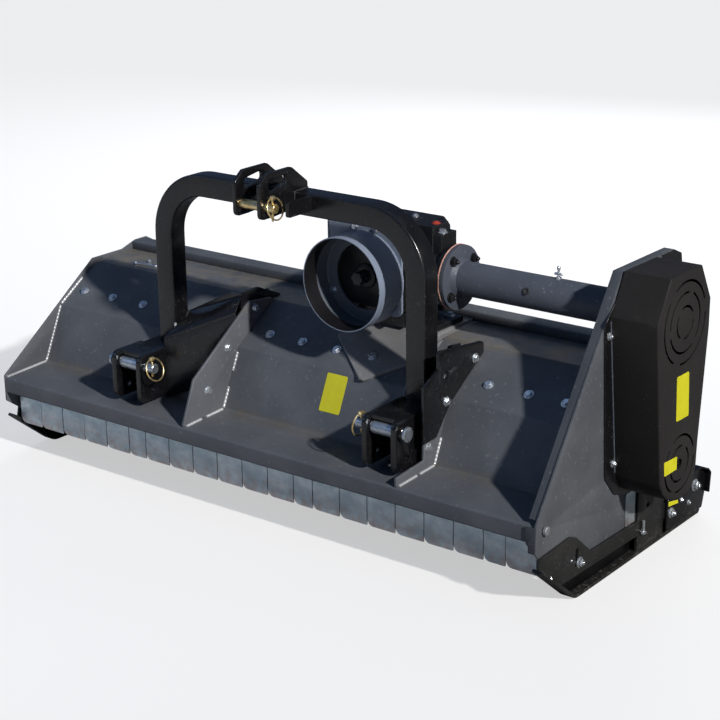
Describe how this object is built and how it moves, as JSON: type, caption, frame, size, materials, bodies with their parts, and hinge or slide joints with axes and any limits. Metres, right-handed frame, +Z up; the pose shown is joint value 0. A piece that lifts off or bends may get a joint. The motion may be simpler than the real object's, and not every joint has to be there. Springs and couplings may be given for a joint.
{
  "type": "tractor mulcher",
  "caption": "Tractor-mounted mulcher: folded deck with hitch arch, angle gearbox, side belt drive, hinged front flaps, skids, rotor and rear roller.",
  "frame": {"origin": "middle of the machine's box in width and depth, on the ground under skids and roller", "axes": "+X to the belt-drive end (the longest extent), -Y towards the tractor, +Z up"},
  "size_m": [1.979, 0.8312, 0.941],
  "materials": {
    "deck_grey_paint": "satin metallic grey paint",
    "gloss_black_paint": "gloss",
    "slate_grey_paint": "satin",
    "satin_black_cover": "satin",
    "zinc_plate": "bright zinc plating",
    "yellow_zinc": "yellow zinc plating",
    "black_cast_iron": "painted casting",
    "bright_steel": "machined",
    "belt_rubber": "matt"
  },
  "bodies": {
    "frame": {"deck_shell": "deck_grey_paint", "end_plate_left": "deck_grey_paint", "end_plate_right": "deck_grey_paint", "rib_left": "deck_grey_paint", "rib_right": "deck_grey_paint", "rear_beam": "deck_grey_paint", "gearbox_mount_plate": "slate_grey_paint", "hitch_arch": "gloss_black_paint", "hitch_bracket_left": "gloss_black_paint", "hitch_bracket_right": "gloss_black_paint", "top_link_plate_left": "gloss_black_paint", "top_link_plate_right": "gloss_black_paint", "top_link_pin": "yellow_zinc", "lower_pin_left": "zinc_plate", "lower_pin_right": "zinc_plate", "linch_pin_top": "yellow_zinc", "linch_pin_left": "yellow_zinc", "linch_pin_right": "yellow_zinc", "pto_shield": "slate_grey_paint", "gearbox_housing": "black_cast_iron", "cross_tube": "slate_grey_paint", "belt_set": "belt_rubber", "bearing_left": "black_cast_iron", "bearing_right": "black_cast_iron", "belt_back_plate": "gloss_black_paint", "belt_cover": "satin_black_cover", "skid_right": "gloss_black_paint", "skid_left": "gloss_black_paint", "roller_bracket_right": "gloss_black_paint", "roller_bracket_left": "gloss_black_paint", "flap_rod": "zinc_plate"},
    "rotor": {"rotor": "black_cast_iron", "driven_pulley": "black_cast_iron"},
    "cross_drive": {"cross_shaft": "bright_steel", "drive_pulley": "black_cast_iron"},
    "input": {"input_shaft": "bright_steel"},
    "idler": {"belt_idler": "bright_steel"},
    "roller": {"rear_roller": "gloss_black_paint"},
    "door": {"rear_door": "deck_grey_paint"},
    "flap_01_body": {"flap_01": "zinc_plate"},
    "flap_02_body": {"flap_02": "zinc_plate"},
    "flap_03_body": {"flap_03": "zinc_plate"},
    "flap_04_body": {"flap_04": "zinc_plate"},
    "flap_05_body": {"flap_05": "zinc_plate"},
    "flap_06_body": {"flap_06": "zinc_plate"},
    "flap_07_body": {"flap_07": "zinc_plate"},
    "flap_08_body": {"flap_08": "zinc_plate"},
    "flap_09_body": {"flap_09": "zinc_plate"},
    "flap_10_body": {"flap_10": "zinc_plate"},
    "flap_11_body": {"flap_11": "zinc_plate"},
    "flap_12_body": {"flap_12": "zinc_plate"},
    "flap_13_body": {"flap_13": "zinc_plate"},
    "flap_14_body": {"flap_14": "zinc_plate"},
    "flap_15_body": {"flap_15": "zinc_plate"},
    "flap_16_body": {"flap_16": "zinc_plate"},
    "flap_17_body": {"flap_17": "zinc_plate"},
    "flap_18_body": {"flap_18": "zinc_plate"},
    "flap_19_body": {"flap_19": "zinc_plate"},
    "flap_20_body": {"flap_20": "zinc_plate"},
    "flap_21_body": {"flap_21": "zinc_plate"}
  },
  "joints": [
    {"name": "rotor_spin", "type": "hinge", "parent": "frame", "child": "rotor", "pos_m": [-0.0465, 0.03075, 0.288], "axis": [1, 0, 0], "continuous": true},
    {"name": "cross_drive_spin", "type": "hinge", "parent": "frame", "child": "cross_drive", "pos_m": [0.6535, 0.02275, 0.652], "axis": [1, 0, 0], "continuous": true},
    {"name": "input_spin", "type": "hinge", "parent": "frame", "child": "input", "pos_m": [0.1435, -0.11125, 0.652], "axis": [0, 1, 0], "continuous": true},
    {"name": "idler_spin", "type": "hinge", "parent": "frame", "child": "idler", "pos_m": [0.9135, 0.10675, 0.47], "axis": [1, 0, 0], "continuous": true},
    {"name": "roller_spin", "type": "hinge", "parent": "frame", "child": "roller", "pos_m": [-0.0465, 0.33375, 0.075], "axis": [1, 0, 0], "continuous": true},
    {"name": "door_hinge", "type": "hinge", "parent": "frame", "child": "door", "pos_m": [-0.0465, 0.23675, 0.492], "axis": [1, 0, 0], "range_deg": [0, 75]},
    {"name": "flap_01_swing", "type": "hinge", "parent": "frame", "child": "flap_01_body", "pos_m": [-0.87102, -0.38025, 0.2245], "axis": [1, 0, 0], "range_deg": [-40, 80]},
    {"name": "flap_02_swing", "type": "hinge", "parent": "frame", "child": "flap_02_body", "pos_m": [-0.78405, -0.38025, 0.2245], "axis": [1, 0, 0], "range_deg": [-40, 80]},
    {"name": "flap_03_swing", "type": "hinge", "parent": "frame", "child": "flap_03_body", "pos_m": [-0.69709, -0.38025, 0.2245], "axis": [1, 0, 0], "range_deg": [-40, 80]},
    {"name": "flap_04_swing", "type": "hinge", "parent": "frame", "child": "flap_04_body", "pos_m": [-0.61012, -0.38025, 0.2245], "axis": [1, 0, 0], "range_deg": [-40, 80]},
    {"name": "flap_05_swing", "type": "hinge", "parent": "frame", "child": "flap_05_body", "pos_m": [-0.52316, -0.38025, 0.2245], "axis": [1, 0, 0], "range_deg": [-40, 80]},
    {"name": "flap_06_swing", "type": "hinge", "parent": "frame", "child": "flap_06_body", "pos_m": [-0.44824, -0.38025, 0.2245], "axis": [1, 0, 0], "range_deg": [-40, 80]},
    {"name": "flap_07_swing", "type": "hinge", "parent": "frame", "child": "flap_07_body", "pos_m": [-0.37332, -0.38025, 0.2245], "axis": [1, 0, 0], "range_deg": [-40, 80]},
    {"name": "flap_08_swing", "type": "hinge", "parent": "frame", "child": "flap_08_body", "pos_m": [-0.28635, -0.38025, 0.2245], "axis": [1, 0, 0], "range_deg": [-40, 80]},
    {"name": "flap_09_swing", "type": "hinge", "parent": "frame", "child": "flap_09_body", "pos_m": [-0.19939, -0.38025, 0.2245], "axis": [1, 0, 0], "range_deg": [-40, 80]},
    {"name": "flap_10_swing", "type": "hinge", "parent": "frame", "child": "flap_10_body", "pos_m": [-0.11242, -0.38025, 0.2245], "axis": [1, 0, 0], "range_deg": [-40, 80]},
    {"name": "flap_11_swing", "type": "hinge", "parent": "frame", "child": "flap_11_body", "pos_m": [-0.02546, -0.38025, 0.2245], "axis": [1, 0, 0], "range_deg": [-40, 80]},
    {"name": "flap_12_swing", "type": "hinge", "parent": "frame", "child": "flap_12_body", "pos_m": [0.06151, -0.38025, 0.2245], "axis": [1, 0, 0], "range_deg": [-40, 80]},
    {"name": "flap_13_swing", "type": "hinge", "parent": "frame", "child": "flap_13_body", "pos_m": [0.13643, -0.38025, 0.2245], "axis": [1, 0, 0], "range_deg": [-40, 80]},
    {"name": "flap_14_swing", "type": "hinge", "parent": "frame", "child": "flap_14_body", "pos_m": [0.21135, -0.38025, 0.2245], "axis": [1, 0, 0], "range_deg": [-40, 80]},
    {"name": "flap_15_swing", "type": "hinge", "parent": "frame", "child": "flap_15_body", "pos_m": [0.29832, -0.38025, 0.2245], "axis": [1, 0, 0], "range_deg": [-40, 80]},
    {"name": "flap_16_swing", "type": "hinge", "parent": "frame", "child": "flap_16_body", "pos_m": [0.38528, -0.38025, 0.2245], "axis": [1, 0, 0], "range_deg": [-40, 80]},
    {"name": "flap_17_swing", "type": "hinge", "parent": "frame", "child": "flap_17_body", "pos_m": [0.47225, -0.38025, 0.2245], "axis": [1, 0, 0], "range_deg": [-40, 80]},
    {"name": "flap_18_swing", "type": "hinge", "parent": "frame", "child": "flap_18_body", "pos_m": [0.55921, -0.38025, 0.2245], "axis": [1, 0, 0], "range_deg": [-40, 80]},
    {"name": "flap_19_swing", "type": "hinge", "parent": "frame", "child": "flap_19_body", "pos_m": [0.64618, -0.38025, 0.2245], "axis": [1, 0, 0], "range_deg": [-40, 80]},
    {"name": "flap_20_swing", "type": "hinge", "parent": "frame", "child": "flap_20_body", "pos_m": [0.7211, -0.38025, 0.2245], "axis": [1, 0, 0], "range_deg": [-40, 80]},
    {"name": "flap_21_swing", "type": "hinge", "parent": "frame", "child": "flap_21_body", "pos_m": [0.79602, -0.38025, 0.2245], "axis": [1, 0, 0], "range_deg": [-40, 80]}
  ],
  "couplings": [
    {"joint": "cross_drive_spin", "follows": "rotor_spin", "ratio": 0.7},
    {"joint": "input_spin", "follows": "rotor_spin", "ratio": 0.2333},
    {"joint": "idler_spin", "follows": "rotor_spin", "ratio": -2.8}
  ]
}
